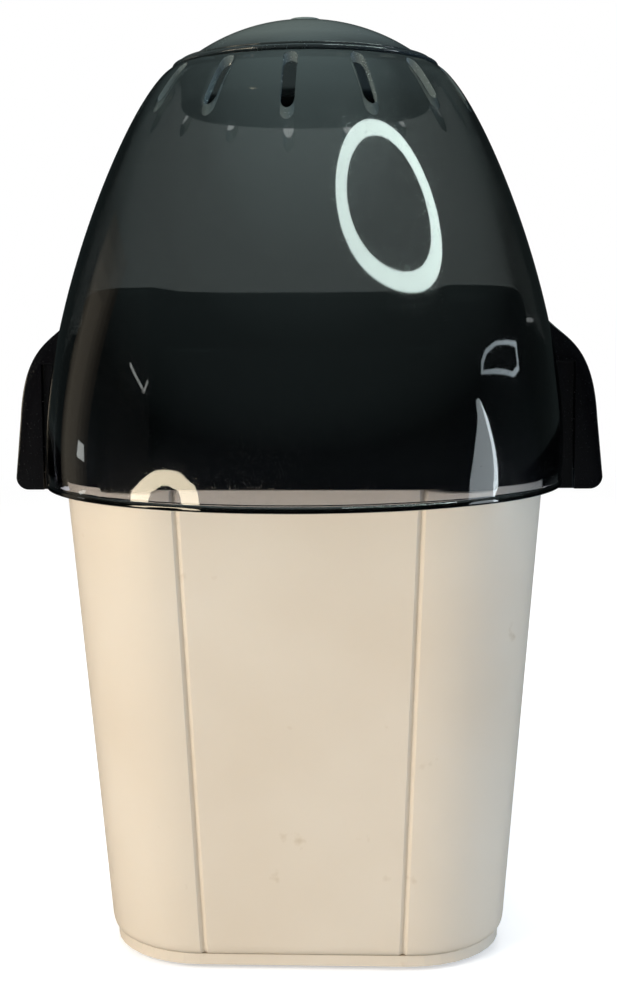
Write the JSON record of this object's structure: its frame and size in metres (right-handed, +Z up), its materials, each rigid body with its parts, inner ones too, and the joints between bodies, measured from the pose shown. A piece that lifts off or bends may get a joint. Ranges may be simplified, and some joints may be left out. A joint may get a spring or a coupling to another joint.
{
  "type": "popcorn maker",
  "caption": "Hot-air popcorn maker: tapered body, smoked see-through hood over a chute, side grips, lift-off measuring cup with domed cap, and fan, heater and popping chamber inside.",
  "frame": {"origin": "on the table plane under the foot pads, on the vertical axis of the popping chamber, fan and motor", "axes": "+Z up along the popping chamber's axis, the longest extent; the chute and the hood's open front face -Y; +X is to the right seen from the front; Y is the shortest extent"},
  "size_m": [0.1888, 0.1797, 0.2897],
  "materials": {
    "cream_shell": "satin moulded polypropylene",
    "foot_rubber": "matt moulded rubber",
    "screw_steel": "zinc-plated steel",
    "black_housing": "gloss black moulded phenolic",
    "chamber_metal": "pressed aluminium",
    "gasket_silicone": "matt silicone",
    "duct_metal": "aluminised sheet",
    "mica": "mica board",
    "heating_wire": "oxidised resistance wire",
    "thermostat_metal": "plated steel",
    "fuse_body": "glazed fuse body",
    "dark_inner_plastic": "heat-resistant moulded plastic",
    "impeller_metal": "pressed aluminium",
    "shaft_steel": "ground steel",
    "armature_copper": "varnished copper and steel",
    "magnet": "ferrite",
    "motor_steel": "zinc-plated steel",
    "bush_bronze": "sintered bronze",
    "circuit_board": "glass-fibre board",
    "diode_black": "moulded epoxy",
    "switch_black": "moulded nylon",
    "smoked_clear": "smoked clear polycarbonate",
    "cup_smoked": "smoked polycarbonate",
    "cap_smoked": "smoked polycarbonate",
    "rocker_black": "moulded nylon"
  },
  "bodies": {
    "base": {"body_shell": "cream_shell", "base_plate": "cream_shell", "foot_pads": "foot_rubber", "base_screws": "screw_steel", "chamber_screws": "screw_steel", "motor_screws": "screw_steel", "top_housing": "black_housing", "left_grip": "black_housing", "right_grip": "black_housing", "popping_chamber": "chamber_metal", "chamber_gasket": "gasket_silicone", "air_duct": "duct_metal", "mica_frame": "mica", "heater_coils": "heating_wire", "thermostat": "thermostat_metal", "thermal_fuse": "fuse_body", "fan_housing": "dark_inner_plastic", "motor_end_cap": "dark_inner_plastic", "cord_gland": "dark_inner_plastic", "gland_nut": "dark_inner_plastic", "motor_magnets": "magnet", "motor_can": "motor_steel", "motor_bushes": "bush_bronze", "rectifier_board": "circuit_board", "rectifier_diodes": "diode_black", "switch_housing": "switch_black"},
    "fan": {"impeller": "impeller_metal", "motor_shaft": "shaft_steel", "motor_armature": "armature_copper"},
    "rocker": {"switch_rocker": "rocker_black"},
    "hood": {"hood": "smoked_clear"},
    "cup": {"measuring_cup": "cup_smoked"},
    "cap": {"cup_cap": "cap_smoked"}
  },
  "joints": [
    {"name": "fan_spin", "type": "hinge", "parent": "base", "child": "fan", "pos_m": [0, 0, 0.06], "axis": [0, 0, 1], "continuous": true},
    {"name": "switch_rock", "type": "hinge", "parent": "base", "child": "rocker", "pos_m": [0, 0.05638, 0.04016], "axis": [1, 0, 0], "range_deg": [0, 16]},
    {"name": "hood_lift", "type": "slide", "parent": "base", "child": "hood", "axis": [0, 0, 1], "range_m": [0, 0.12]},
    {"name": "cup_lift", "type": "slide", "parent": "hood", "child": "cup", "axis": [0, 0, 1], "range_m": [0, 0.06]},
    {"name": "cap_lift", "type": "slide", "parent": "cup", "child": "cap", "axis": [0, 0, 1], "range_m": [0, 0.05]}
  ]
}
